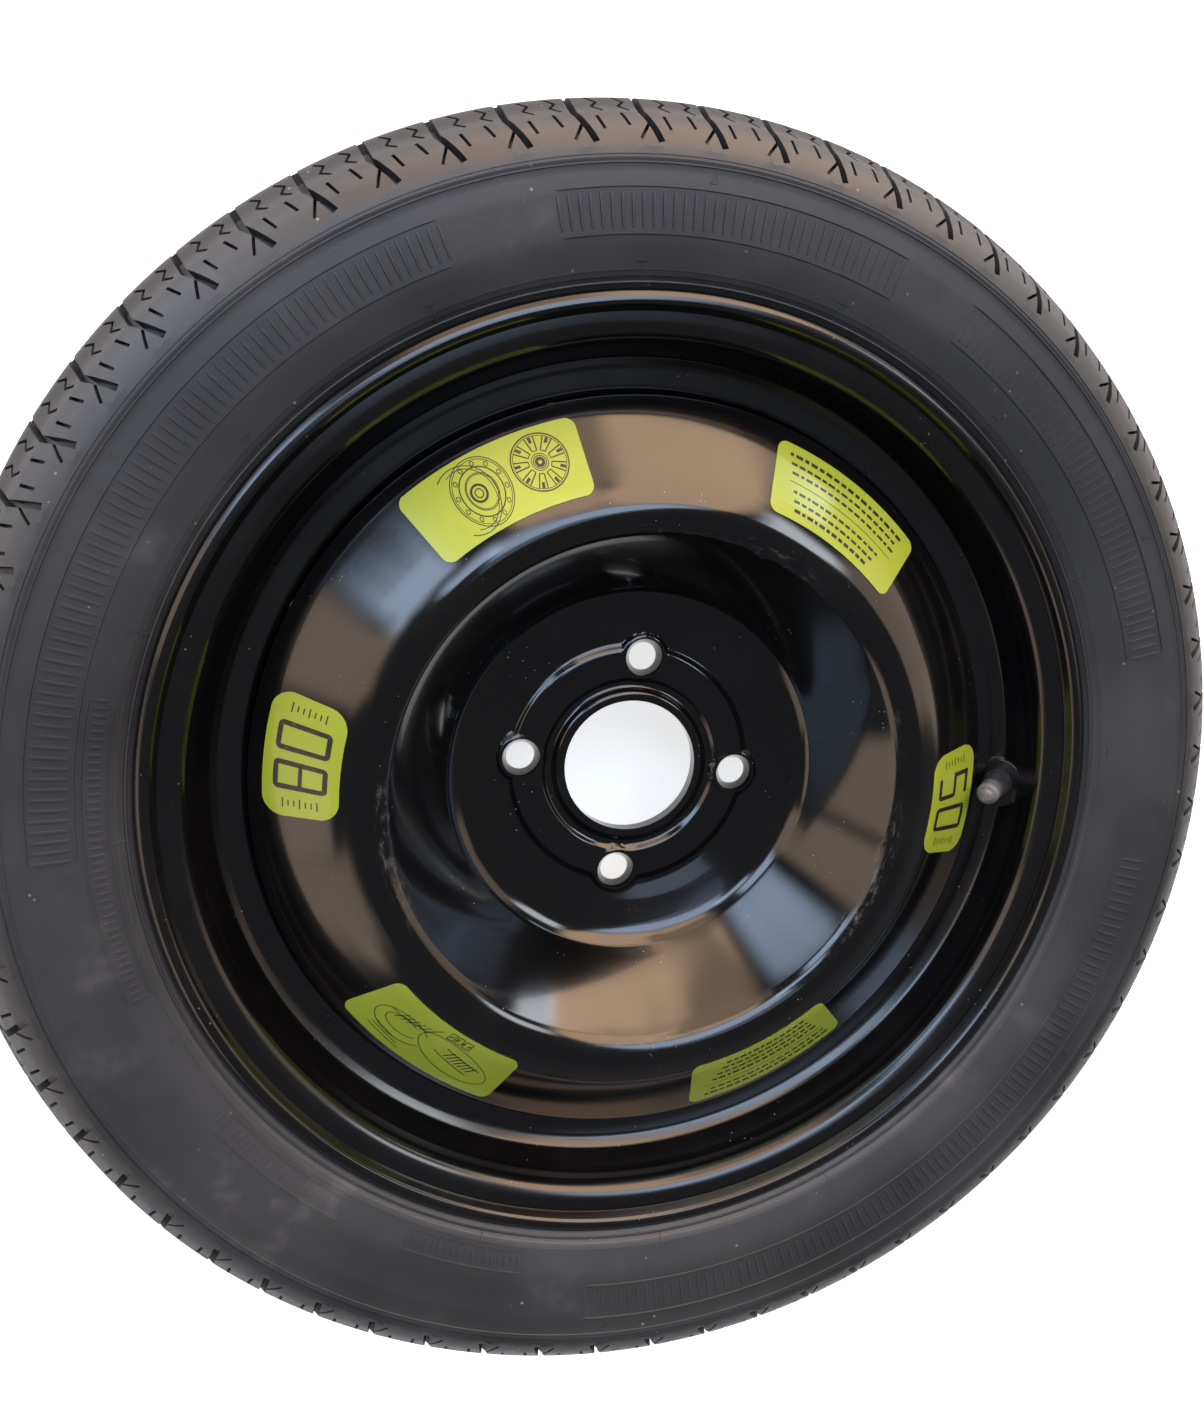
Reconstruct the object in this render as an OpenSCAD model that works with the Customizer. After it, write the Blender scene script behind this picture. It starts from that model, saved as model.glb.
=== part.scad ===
/* Space saver spare wheel, lying flat with the outboard face up.
   Millimetres. Z is the wheel axis, z = 0 is the floor under the inboard sidewall,
   and +X runs through the first bolt hole and the valve. */

/* [Tyre] */
// Overall diameter of the tyre
tyre_od = 613.6; // [605:0.1:622]
// Section width from sidewall to sidewall
section_w = 125; // [120:0.5:130]
// Depth of the tyre from the tread to the bead seat
tyre_depth = 104; // [96:0.1:110]
// Distance from the tread down to the fine mould line of each sidewall
mould_line_drop = 36; // [30:0.1:42]
// Rubber thickness of the sidewall
sidewall_t = 8; // [6:0.5:11]
// Number of tread blocks round each shoulder
tread_pitches = 64; // [48:1:72]
// Depth of the shoulder grooves
groove_depth = 5; // [3:0.5:7]
// Width of the shoulder grooves
groove_w = 3; // [2:0.1:5]
// Half distance between the two main circumferential grooves
main_groove_h = 17; // [12:0.5:24]
// Width of each circumferential groove
main_groove_w = 6; // [4:0.5:9]

/* [Rim] */
// Height of the rolled flange edge above the bead seat
flange_rise = 18; // [15:0.1:20]
// Distance from each sidewall in to the flange
flange_inset = 13.75; // [11:0.25:18]
// Sheet thickness of the rim
rim_t = 2.8; // [2.2:0.1:3.5]
// Depth of the drop centre below the bead seat
well_depth = 24.6; // [19:0.1:30]
// Drop from the outboard flange face to the shelf beside the drop centre
shelf_drop = 24.75; // [21:0.25:28]
// Distance from the inboard flange face to the drop centre
well_back_step = 36.75; // [32:0.25:40]

/* [Disc] */
// Sheet thickness of the disc
disc_t = 3.4; // [2.5:0.1:4.5]
// Diameter of the centre bore
bore_d = 65.1; // [60:0.1:70]
// Pitch circle diameter of the bolt holes
bolt_pcd = 108; // [98:0.1:120]
// Number of bolt holes
bolt_count = 4; // [3:1:6]
// Diameter of each bolt hole
bolt_hole_d = 14; // [12:0.1:16]
// Width of flat hub face outside the bolt circle
hub_margin = 28.5; // [25:0.5:32]
// Place of the crown between the hub face and the rim, in percent
crown_place = 38.14; // [34:0.01:44]
// Height of the crown above the outboard sidewall
crown_rise = 3.4; // [-3:0.1:6]
// Depth of the hub face below the crown
bowl_depth = 55.4; // [48:0.1:62]

/* [Valve] */
// Angle of the valve round the wheel from the first bolt hole
valve_az = 2.5; // [-10:0.5:10]
// Lean of the valve from the wheel axis toward the hub
valve_lean = 42; // [20:1:60]
// Diameter of the valve hole in the rim
valve_hole_d = 11.5; // [11:0.1:16]

/* [Labels] */
// Half angle of a label with digits
digit_half_a = 9.7; // [6:0.1:14]
// Half angle of a label with a drawing or lines
wide_half_a = 14.6; // [8:0.1:18]
// Thickness of a label with its clear film
label_t = 0.25; // [0.1:0.05:0.5]

/* [Hidden] */
$fn = 96;
fit_gap = 0.05;
mid_z = section_w / 2;
tyre_r = tyre_od / 2;
seat_r = tyre_r - tyre_depth;
mould_line_r = tyre_r - mould_line_drop;
flange_r = seat_r + flange_rise;
flange_face_h = mid_z - flange_inset;
well_r = seat_r - well_depth;
hub_r = bolt_pcd / 2 + hub_margin;
crown_h = mid_z + crown_rise;
hub_h = crown_h - bowl_depth;
hub_z = hub_h + mid_z;
arc_steps = 5;
tyre_steps = 2;

/* Profile helpers: a profile is a list of [radius, height] corners,
   and radii gives the fillet at each corner. */
function unit(v) = v / norm(v);
function left_of(v) = [-v[1], v[0]];
function turn(a, b) = a[0] * b[1] - a[1] * b[0];
function fillet_at(p, i, r, steps) =
    let (
        back = unit(p[i - 1] - p[i]),
        ahead = unit(p[i + 1] - p[i]),
        half = acos(back * ahead) / 2,
        // A fillet takes at most seven tenths of the shorter side
        reach = min(r / tan(half), 0.7 * min(norm(p[i - 1] - p[i]), norm(p[i + 1] - p[i]))),
        start = p[i] + back * reach,
        end = p[i] + ahead * reach,
        r_held = reach * tan(half),
        centre = p[i] + unit(back + ahead) * r_held / sin(half)
    )
    [for (k = [0:steps]) centre + unit(start + (end - start) * k / steps - centre) * r_held];
function rounded(p, radii, steps = arc_steps) = [
    for (i = [0:len(p) - 1])
        each (i > 0 && i < len(p) - 1 && radii[i] > 0.05 ? fillet_at(p, i, radii[i], steps) : [p[i]])
];
function offset_corner(p, i, d) =
    let (
        before = unit(p[max(i, 1)] - p[max(i, 1) - 1]),
        after = unit(p[min(i, len(p) - 2) + 1] - p[min(i, len(p) - 2)]),
        normal = unit(left_of(before) + left_of(after))
    )
    p[i] + normal * d / (normal * left_of(before));
function offset_line(p, d) = [for (i = [0:len(p) - 1]) offset_corner(p, i, d)];
function offset_radii(p, radii, d) = [
    for (i = [0:len(p) - 1])
        i == 0 || i == len(p) - 1 || radii[i] == 0 ? 0
            : max(0.3, radii[i] - d * sign(turn(p[i] - p[i - 1], p[i + 1] - p[i])))
];
function reversed(p) = [for (i = [len(p) - 1:-1:0]) p[i]];
// Closed outline of a sheet of thickness d that follows the line p on its left side
function sheet(p, radii, d) = concat(
    rounded(p, radii),
    reversed(rounded(offset_line(p, d), offset_radii(p, radii, d)))
);

/* Tyre */
shoulder_drop = 12.5;
shoulder_r = tyre_r - shoulder_drop;
shoulder_h = mid_z - 18.5;
edge_drop = 5.2;
edge_h = shoulder_h - 12;
belt_h = shoulder_h - 24;
tread_t = 12;
bead_r = seat_r + fit_gap;
bead_w = 13;
bead_toe_h = flange_face_h - bead_w;

// Back of the rolled flange edge, as [radius, height] steps from the flange edge and web
lip_back = [[-3.8, -2.8], [-2, -2.3], [-0.8, -1.2], [-0.1, 0.2], [0, 1.4]];
flange_back = concat(
    [[seat_r, bead_toe_h], [seat_r, flange_face_h]],
    [for (q = lip_back) [flange_r + q[0], flange_face_h + rim_t + q[1]]]
);

// Outer half profile from the bead toe to the crown, as [radius, height above mid plane]
outer_half = concat(
    offset_line(flange_back, -fit_gap),
    [
        [flange_r + 5.2, mid_z - 5.5],
        [flange_r + 19, mid_z - 1.5],
        [mould_line_r - 12, mid_z],
        [mould_line_r, mid_z - 0.2],
        [mould_line_r + 0.2, mid_z - 1],
        [mould_line_r + 4.5, mid_z - 1.6],
        [shoulder_r - 11.5, mid_z - 5],
        [shoulder_r - 3.8, mid_z - 11.5],
        [shoulder_r, shoulder_h],
        [tyre_r - edge_drop, edge_h],
        [tyre_r - 1.2, belt_h],
        [tyre_r, 0]
    ]
);
outer_radii = [0, 6.5, 0, 0, 0, 0, 0, 12, 30, 30, 0, 0, 3, 15, 16, 14, 16, 60, 0];
// Inner half profile of the air cavity
inner_half = [
    [bead_r + 5, bead_toe_h + 1.8],
    [flange_r - 4, flange_face_h - 7],
    [flange_r + 8, mid_z - sidewall_t - 3],
    [mould_line_r - 14, mid_z - sidewall_t],
    [mould_line_r + 8, mid_z - sidewall_t - 3],
    [tyre_r - tread_t - 10, shoulder_h - 6],
    [tyre_r - tread_t - 2, shoulder_h - 22],
    [tyre_r - tread_t, 0]
];
inner_radii = [0, 12, 20, 25, 18, 20, 30, 0];
function mirrored(p) = [for (i = [len(p) - 2:-1:0]) [p[i][0], -p[i][1]]];
function lifted(p) = [for (q = p) [q[0], q[1] + mid_z]];

module tyre_casing() {
    outer = rounded(outer_half, outer_radii, tyre_steps);
    inner = rounded(inner_half, inner_radii, tyre_steps);
    outline = concat(outer, mirrored(outer), reversed(concat(inner, mirrored(inner))));
    rotate_extrude($fn = 128) polygon(lifted(outline));
}

module main_grooves() {
    main_depth = 5;
    for (side = [-1, 1])
        translate([0, 0, mid_z + side * main_groove_h - main_groove_w / 2])
            rotate_extrude($fn = 128)
                translate([tyre_r - main_depth, 0]) square([2 * main_depth, main_groove_w]);
}

// One shoulder groove: a straight cut over the tread edge and a slanted foot on the sidewall
module shoulder_groove() {
    kink_r = shoulder_r - 3.3;
    kink_h = shoulder_h + 7.5;
    over_l = 37;
    over_turn = [182.6, 25.4, 0];
    foot_l = 17.5;
    foot_turn = [15.6, -57, 0];
    kink_lap = 1;
    translate([kink_r, 0, kink_h])
        rotate(over_turn)
            translate([-groove_depth, -groove_w / 2, -kink_lap])
                cube([groove_depth * 4, groove_w, over_l]);
    translate([kink_r, 0, kink_h])
        rotate(foot_turn)
            translate([-groove_depth, -groove_w / 2, -kink_lap])
                cube([groove_depth * 2, groove_w, foot_l]);
}

module shoulder_grooves() {
    for (i = [0:tread_pitches - 1])
        rotate([0, 0, i * 360 / tread_pitches]) {
            translate([0, 0, mid_z]) shoulder_groove();
            rotate([0, 0, 180 / tread_pitches])
                translate([0, 0, mid_z]) mirror([0, 0, 1]) shoulder_groove();
        }
}

module tyre() {
    color([0.07, 0.07, 0.075])
        difference() {
            tyre_casing();
            main_grooves();
            shoulder_grooves();
        }
}

/* Rim: one rolled sheet. The side that can be seen is drawn from the inboard flange
   to the outboard flange, and the rolled edges are added at both ends. */
web_h = flange_face_h + rim_t;
seat_in_r = seat_r - rim_t;
// Height of the outboard shelf and of the inboard end of the drop centre
shelf_h = flange_face_h - shelf_drop;
well_back_h = well_back_step - flange_face_h;
hump_h = flange_face_h - 10.75;
shelf_w = 12.3;

sheet_line = [
    [flange_r - 9.2, -web_h],
    [seat_in_r, -web_h],
    [seat_in_r, -hump_h],
    [well_r, well_back_h],
    [well_r, shelf_h],
    [well_r + shelf_w, shelf_h],
    [well_r + shelf_w + 4.3, shelf_h + 3.2],
    [seat_in_r, hump_h],
    [seat_in_r, web_h],
    [flange_r - 9.2, web_h]
];
sheet_radii = [0, 8, 14, 12, 4.5, 4, 5, 12, 8, 0];
lip_front = [[-7.6, 3.7], [-6.8, 4.7], [-5.8, 5], [-4.6, 4.7], [-0.5, 2.3]];
function rim_lip(side) = [
    for (q = concat(lip_front, reversed(lip_back))) [flange_r + q[0], side * (web_h + q[1])]
];
rim_outline = concat(
    rounded(sheet_line, sheet_radii),
    rim_lip(1),
    reversed(rounded(offset_line(sheet_line, -rim_t), offset_radii(sheet_line, sheet_radii, -rim_t))),
    reversed(rim_lip(-1))
);

/* Valve boss: a flat pressed spot with the valve's axis through its middle */
valve_seat_r = well_r + 14;
valve_seat_h = shelf_h + 3.6;
boss_r = 12.5;
boss_top = 1;
boss_back = rim_t + 1.2;
shoulder_back_r = 9.4;
spot_r = 7.8;
spot_cut = 6;
back_spot_r = shoulder_back_r + 0.3;
back_spot_cut = 3;
cut_l = 40;

module on_valve_axis() {
    rotate([0, 0, valve_az])
        translate([valve_seat_r, 0, mid_z + valve_seat_h])
            rotate([0, -valve_lean, 0]) children();
}

module rim() {
    color([0.035, 0.035, 0.04])
        difference() {
            union() {
                rotate_extrude($fn = 128) polygon(lifted(rim_outline));
                on_valve_axis()
                    translate([0, 0, -boss_back]) cylinder(r = boss_r, h = boss_back + boss_top);
            }
            on_valve_axis() translate([0, 0, -cut_l / 2]) cylinder(d = valve_hole_d, h = cut_l);
            // Flat seats for the two shoulders of the valve
            on_valve_axis() translate([0, 0, boss_top]) cylinder(r = spot_r, h = spot_cut);
            on_valve_axis()
                translate([0, 0, -boss_back - back_spot_cut])
                    cylinder(r = back_spot_r, h = back_spot_cut);
        }
}

/* Disc: one pressed sheet from the flange inside the drop centre, over the
   crown, down to the hub face. The visible side is drawn, from rim to hub. */
disc_flange_r = well_r - fit_gap;
disc_flange_h = well_back_h + 7;
slope_h = shelf_h + 8.6;
// Radius at a share of the way from the hub face to the rim
function between(share) = hub_r + (well_r - hub_r) * share;
crown_r = between(crown_place / 100);
label_in_r = between(0.5747);
plate_r = bolt_pcd / 2 + 4;
// Gentle rise of the hub face toward the foot of the bowl wall
hub_dish = 3.8;
hub_dish_w = 14.5;
lip_r = bore_d / 2 + 6.45;
lip_rise = 3;

disc_line = [
    [disc_flange_r, disc_flange_h],
    [disc_flange_r, slope_h],
    [label_in_r, crown_h - 5.9],
    [crown_r, crown_h + 1.1],
    [hub_r, hub_h + hub_dish],
    [hub_r - hub_dish_w, hub_h],
    [bore_d / 2 - 1, hub_h]
];
disc_radii = [0, 13, 60, 8, 9, 12, 0];

module bolt_places() {
    for (i = [0:bolt_count - 1])
        rotate([0, 0, i * 360 / bolt_count]) translate([bolt_pcd / 2, 0, hub_z]) children();
}

module hub_relief() {
    plate_rise = 1.8;
    pad_rise = 2.6;
    pad_foot_r = 13;
    pad_top_r = 10.2;
    // Raised plate between the bore and the crown
    difference() {
        translate([0, 0, hub_z - 1])
            cylinder(r1 = plate_r + 1.8, r2 = plate_r - 1.2, h = plate_rise + 1);
        translate([0, 0, hub_z - 1.01])
            cylinder(r1 = lip_r + 2.5, r2 = lip_r + 5, h = plate_rise + 1.02);
    }
    // Pads round the bolt holes
    bolt_places() translate([0, 0, -1]) cylinder(r1 = pad_foot_r, r2 = pad_top_r, h = pad_rise + 1);
    // Turned edge of the bore
    translate([0, 0, hub_z - 1]) cylinder(r1 = lip_r + 0.5, r2 = bore_d / 2 + 2.6, h = lip_rise + 1);
}

module disc() {
    seat_top_r = bolt_hole_d / 2 + 2.2;
    seat_h = 3.81;
    seat_sink = 1.2;
    color([0.03, 0.03, 0.035])
        difference() {
            union() {
                rotate_extrude($fn = 128) polygon(lifted(sheet(disc_line, disc_radii, disc_t)));
                hub_relief();
            }
            translate([0, 0, hub_z - cut_l / 2]) cylinder(d = bore_d, h = cut_l);
            bolt_places() translate([0, 0, -cut_l / 2]) cylinder(d = bolt_hole_d, h = cut_l);
            // Conical bolt seats
            bolt_places()
                translate([0, 0, -seat_sink])
                    cylinder(r1 = bolt_hole_d / 2, r2 = seat_top_r, h = seat_h);
        }
}

/* Weld beads that join the inboard edge of the disc flange to the rim */
weld_count = 8;
weld_half_a = 7;
module disc_welds() {
    bead = 3.6;
    color([0.05, 0.05, 0.05])
        for (i = [0:weld_count - 1])
            rotate([0, 0, (i + 0.5) * 360 / weld_count - weld_half_a])
                rotate_extrude(angle = 2 * weld_half_a, $fn = 128)
                    translate([0, mid_z + disc_flange_h - fit_gap])
                        polygon([
                            [well_r - fit_gap, 0],
                            [well_r - disc_t, 0],
                            [well_r - bead + 1, -bead + 1],
                            [well_r - fit_gap, -bead]
                        ]);
}

/* Valve, drawn along its own axis with z = 0 on the rim boss */
stem_r = valve_hole_d / 2 - fit_gap;
tube_r = 3.85;
core_bore_r = 2.6;
tube_top = 29;
core_z = 16.4;
core_head_z = 25.5;
spring_z = 5.5;
spring_seat_r = 0.8;
wire_t = 0.36;

module valve_rubber() {
    color([0.05, 0.05, 0.052])
        on_valve_axis()
            rotate_extrude($fn = 48)
                polygon([
                    [tube_r - 1.2, -13],
                    [shoulder_back_r - 1.2, -13],
                    [shoulder_back_r, -11.5],
                    [shoulder_back_r, -boss_back - 1.4],
                    [7.6, -boss_back - fit_gap],
                    [stem_r, -boss_back - fit_gap],
                    [stem_r, boss_top + fit_gap],
                    [7.2, boss_top + fit_gap],
                    [7.2, boss_top + 2],
                    [6.2, boss_top + 5],
                    [5.6, 17],
                    [tube_r + fit_gap, 17.5],
                    [tube_r + fit_gap, -9],
                    [tube_r - 1.2, -9]
                ]);
}

module valve_tube() {
    color([0.62, 0.5, 0.26])
        on_valve_axis()
            rotate_extrude($fn = 48)
                polygon([
                    [spring_seat_r, -8.9],
                    [tube_r, -8.9],
                    [tube_r, tube_top - 0.6],
                    [tube_r - 0.6, tube_top],
                    [core_bore_r, tube_top],
                    [core_bore_r, 15],
                    [1.9, 13],
                    [1.6, 13],
                    [1.6, spring_z - fit_gap],
                    [spring_seat_r, spring_z - fit_gap]
                ]);
}

module valve_core_body() {
    color([0.7, 0.58, 0.3])
        on_valve_axis()
            difference() {
                rotate_extrude($fn = 48)
                    polygon([
                        [0.95, core_z],
                        [1.75, core_z],
                        [1.75, 19.6],
                        [2.1, 19.6],
                        [2.1, 21.2],
                        [2.55, 21.2],
                        [2.55, core_head_z],
                        [0.95, core_head_z]
                    ]);
                // Cross slot for the core key
                translate([-4, -1.4, core_head_z - 1.2]) cube([2.6, 2.8, 2]);
                translate([1.4, -1.4, core_head_z - 1.2]) cube([2.6, 2.8, 2]);
            }
}

module valve_core_seal() {
    color([0.75, 0.1, 0.08])
        on_valve_axis()
            rotate_extrude($fn = 48)
                polygon([
                    [1.75 + fit_gap, 17.2],
                    [2.4, 17.4],
                    [2.55, 19.5],
                    [1.75 + fit_gap, 19.5]
                ]);
}

pin_travel = 1.5;
pin_r = 0.45;
pin_foot_z = 3.5;
pin_cup_z = 14.1;
pin_cup_h = 0.8;
module valve_pin() {
    color([0.72, 0.62, 0.36])
        on_valve_axis() {
            translate([0, 0, pin_foot_z]) cylinder(r = pin_r, h = core_head_z + 0.6 - pin_foot_z);
            // Button that the chuck presses
            translate([0, 0, core_head_z + 0.5]) cylinder(r = 0.8, h = 0.7);
            // Cup that carries the seal and takes the push of the spring
            translate([0, 0, pin_cup_z]) cylinder(r = 1.3, h = pin_cup_h);
        }
}

module valve_pin_seal() {
    color([0.1, 0.1, 0.1])
        on_valve_axis()
            translate([0, 0, pin_cup_z + pin_cup_h])
                difference() {
                    cylinder(r = 1.4, h = core_z - fit_gap - pin_cup_z - pin_cup_h);
                    translate([0, 0, -1]) cylinder(r = pin_r + 0.02, h = 4);
                }
}

// Flat wire coiled upward: its cut across is an arc as long as the wire is steep
module valve_spring() {
    coil_r = 0.95;
    coils = 6;
    spring_h = pin_cup_z - fit_gap - spring_z;
    wire_arc = 360 * coils * wire_t / spring_h;
    inner = coil_r - wire_t / 2;
    outer = coil_r + wire_t / 2;
    steps = 4;
    color([0.75, 0.76, 0.78])
        on_valve_axis()
            translate([0, 0, spring_z])
                linear_extrude(height = spring_h, twist = -360 * coils, slices = coils * 16, $fn = 8)
                    polygon(concat(
                        [for (i = [0:steps]) outer * [cos(wire_arc * i / steps), sin(wire_arc * i / steps)]],
                        [for (i = [steps:-1:0]) inner * [cos(wire_arc * i / steps), sin(wire_arc * i / steps)]]
                    ));
}

module valve_cap() {
    cap_z = 18.2;
    color([0.5, 0.5, 0.52])
        on_valve_axis()
            translate([0, 0, cap_z])
                rotate_extrude($fn = 48)
                    polygon([
                        [tube_r + 0.12, 0],
                        [5.3, 0],
                        [5.3, 8.2],
                        [5, 9],
                        [4.2, 9.4],
                        [4, 12],
                        [3.4, 13.4],
                        [2, 14.3],
                        [0, 14.6],
                        [0, 12.4],
                        [tube_r + 0.12, 12.4]
                    ]);
}

module valve_cap_seal() {
    color([0.08, 0.08, 0.08])
        on_valve_axis()
            translate([0, 0, tube_top + 0.3])
                difference() {
                    cylinder(r = tube_r - 0.1, h = 1.2);
                    translate([0, 0, -1]) cylinder(r = 1.6, h = 4);
                }
}

/* Labels: a thin skin that follows the outer slope of the disc */
label_out_r = well_r - 7.4;
digit_corner_r = 9;
wide_corner_r = 4.5;
label_gap = 0.02;
// Places round the wheel, counted from the bolt hole beside the valve
label_80_az = 179;
label_50_az = 1.1;
label_wheels_az = 123;
label_fitting_az = 236.4;
label_notice_az = 61;
label_warning_az = 300.5;

label_cut_h = bowl_depth;
module label_blank(az, half_a, wanted_r) {
    corner_r = min(wanted_r, 0.45 * (label_out_r - label_in_r));
    skin = sheet(offset_line(disc_line, -label_gap), offset_radii(disc_line, disc_radii, -label_gap), -label_t);
    round_a = atan(corner_r / label_in_r);
    rotate([0, 0, az])
        intersection() {
            rotate([0, 0, -half_a - 1])
                rotate_extrude(angle = 2 * half_a + 2, $fn = 128) polygon(lifted(skin));
            translate([0, 0, hub_z]) union() {
                rotate([0, 0, -half_a])
                    rotate_extrude(angle = 2 * half_a, $fn = 128)
                        translate([label_in_r + corner_r, 0])
                            square([label_out_r - label_in_r - 2 * corner_r, label_cut_h]);
                rotate([0, 0, -half_a + round_a])
                    rotate_extrude(angle = 2 * (half_a - round_a), $fn = 128)
                        translate([label_in_r, 0]) square([label_out_r - label_in_r, label_cut_h]);
                for (side = [-1, 1])
                    for (r = [label_in_r + corner_r, label_out_r - corner_r])
                        rotate([0, 0, side * (half_a - asin(corner_r / r))])
                            translate([r, 0, 0]) cylinder(r = corner_r, h = label_cut_h, $fn = 24);
            }
        }
}

module digit_label(az) {
    color([0.72, 0.78, 0.2]) label_blank(az, digit_half_a, digit_corner_r);
}

module wide_label(az) {
    color([0.72, 0.78, 0.2]) label_blank(az, wide_half_a, wide_corner_r);
}

tyre();
rim();
disc();
disc_welds();
valve_rubber();
valve_tube();
valve_core_body();
valve_core_seal();
valve_spring();
valve_pin();
valve_pin_seal();
valve_cap();
valve_cap_seal();
digit_label(label_80_az);  // label_80
digit_label(label_50_az);  // label_50
wide_label(label_wheels_az);  // label_wheels
wide_label(label_fitting_az);  // label_fitting
wide_label(label_notice_az);  // label_notice
wide_label(label_warning_az);  // label_warning
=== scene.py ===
"""Looks of the space saver spare wheel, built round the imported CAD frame.

Lengths here are millimetres in the row frame and turn into metres where a mesh is made.
Z is the wheel axis; heights called h are measured from the tyre's middle plane.
"""
import math

import bmesh
import bpy
import numpy as np
from mathutils import Matrix, Vector


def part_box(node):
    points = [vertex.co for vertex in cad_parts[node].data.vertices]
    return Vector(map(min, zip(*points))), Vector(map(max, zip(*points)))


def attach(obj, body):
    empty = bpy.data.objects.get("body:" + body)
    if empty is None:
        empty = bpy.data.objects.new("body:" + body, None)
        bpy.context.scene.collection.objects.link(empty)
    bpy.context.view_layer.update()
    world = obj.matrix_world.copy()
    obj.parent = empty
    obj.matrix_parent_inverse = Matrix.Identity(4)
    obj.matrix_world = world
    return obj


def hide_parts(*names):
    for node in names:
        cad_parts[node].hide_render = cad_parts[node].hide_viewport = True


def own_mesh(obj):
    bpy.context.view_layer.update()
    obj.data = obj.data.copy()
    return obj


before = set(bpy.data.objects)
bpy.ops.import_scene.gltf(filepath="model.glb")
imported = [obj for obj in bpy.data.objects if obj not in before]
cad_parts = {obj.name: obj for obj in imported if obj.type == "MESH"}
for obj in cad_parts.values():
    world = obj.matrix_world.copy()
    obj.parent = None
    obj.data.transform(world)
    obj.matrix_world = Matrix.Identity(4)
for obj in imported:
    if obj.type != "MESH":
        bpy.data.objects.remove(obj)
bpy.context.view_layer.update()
MM = 0.001

# Driving sizes, the same as in the part's source
SECTION_W = 125.0
MID_Z = SECTION_W / 2
TYRE_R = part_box("tyre")[1].x / MM
MOULD_LINE_R = 270.8
SIDEWALL_T = 8.0
SHOULDER_H = 44.0
TREAD_PITCHES = 64
FLANGE_R = 220.8
FLANGE_GAP = 97.5
SEAT_R = 202.8
RIM_T = 2.8
WELL_R = 178.2
SHELF_H = 24.0
DISC_T = 3.4
HUB_Z = 73.0
HUB_R = 87.0
CROWN_Z = 128.4
BORE_R = 32.55
BOLT_CIRCLE_R = 54.0
BOLT_HOLE_R = 7.0
VALVE_AZ = 2.5
VALVE_LEAN = 42.0
VALVE_SEAT = (192.2, 27.6)
LABEL_IN_R = 137.5
LABEL_OUT_R = 170.8
LABEL_LIFT = 0.27

# The photograph's camera, found by fitting the wheel's rings
PHOTO_W = 1204
PHOTO_H = 1404
FOCAL_PX = 1089.95
CENTRE_PX = (602.56, 621.36)
CAMERA_AT = (-137.85, 140.01, 578.21)
CAMERA_TURN = (-9.378, -11.767, 7.498)


# Profiles

def rounded(points, radii, step_deg=7.5):
    """The outline with an arc at each corner that has a radius."""
    out = [points[0]]
    for i in range(1, len(points) - 1):
        p = np.array(points[i], float)
        back = np.array(points[i - 1], float) - p
        ahead = np.array(points[i + 1], float) - p
        back /= np.linalg.norm(back)
        ahead /= np.linalg.norm(ahead)
        half = math.acos(max(-1.0, min(1.0, float(back @ ahead)))) / 2
        if radii[i] < 0.05 or half > math.radians(89):
            out.append(tuple(p))
            continue
        reach = radii[i] / math.tan(half)
        start = p + back * reach
        end = p + ahead * reach
        middle = back + ahead
        centre = p + middle / np.linalg.norm(middle) * radii[i] / math.sin(half)
        steps = max(2, int(round((180 - 2 * math.degrees(half)) / step_deg)))
        a0 = math.atan2(*(start - centre)[::-1])
        a1 = math.atan2(*(end - centre)[::-1])
        sweep = (a1 - a0 + math.pi) % (2 * math.pi) - math.pi
        for k in range(steps + 1):
            a = a0 + sweep * k / steps
            out.append((centre[0] + radii[i] * math.cos(a), centre[1] + radii[i] * math.sin(a)))
    out.append(points[-1])
    return [(float(r), float(h)) for r, h in out]


def offset_line(points, d):
    """The open line moved by d to its left, with mitred corners."""
    p = np.array(points, float)
    along = np.diff(p, axis=0)
    along /= np.linalg.norm(along, axis=1)[:, None]
    left = np.stack([-along[:, 1], along[:, 0]], axis=1)
    out = []
    for i in range(len(p)):
        before = left[max(i - 1, 0)]
        after = left[min(i, len(left) - 1)]
        n = before + after
        n /= np.linalg.norm(n)
        out.append(tuple(p[i] + n * d / float(n @ before)))
    return out


def spaced(points, gap):
    """The line with extra points so that no step is longer than gap."""
    out = [points[0]]
    for a, b in zip(points, points[1:]):
        n = max(1, math.ceil(math.dist(a, b) / gap))
        out += [(a[0] + (b[0] - a[0]) * k / n, a[1] + (b[1] - a[1]) * k / n) for k in range(1, n + 1)]
    return out


def mirrored(points):
    return [(r, -h) for r, h in reversed(points)]


# Meshes

def new_object(name, vertices, faces, material, body="wheel", sharp_deg=35.0):
    """A smooth mesh, with vertices in millimetres in the row frame, that rides on a body."""
    mesh = bpy.data.meshes.new(name)
    mesh.from_pydata([tuple(v) for v in np.asarray(vertices, float) * MM], [], faces)
    mesh.validate()
    mesh.shade_smooth()
    mesh.set_sharp_from_angle(angle=math.radians(sharp_deg))
    mesh.materials.append(material)
    obj = bpy.data.objects.new(name, mesh)
    bpy.context.scene.collection.objects.link(obj)
    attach(obj, body)
    return obj


def ring_faces(rows, columns, closed_rows, start=0):
    """Quads of a grid of rows by columns that closes round its columns."""
    faces = []
    for i in range(rows if closed_rows else rows - 1):
        a = start + i * columns
        b = start + (i + 1) % rows * columns
        for j in range(columns):
            k = (j + 1) % columns
            faces.append((a + j, a + k, b + k, b + j))
    return faces


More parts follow.
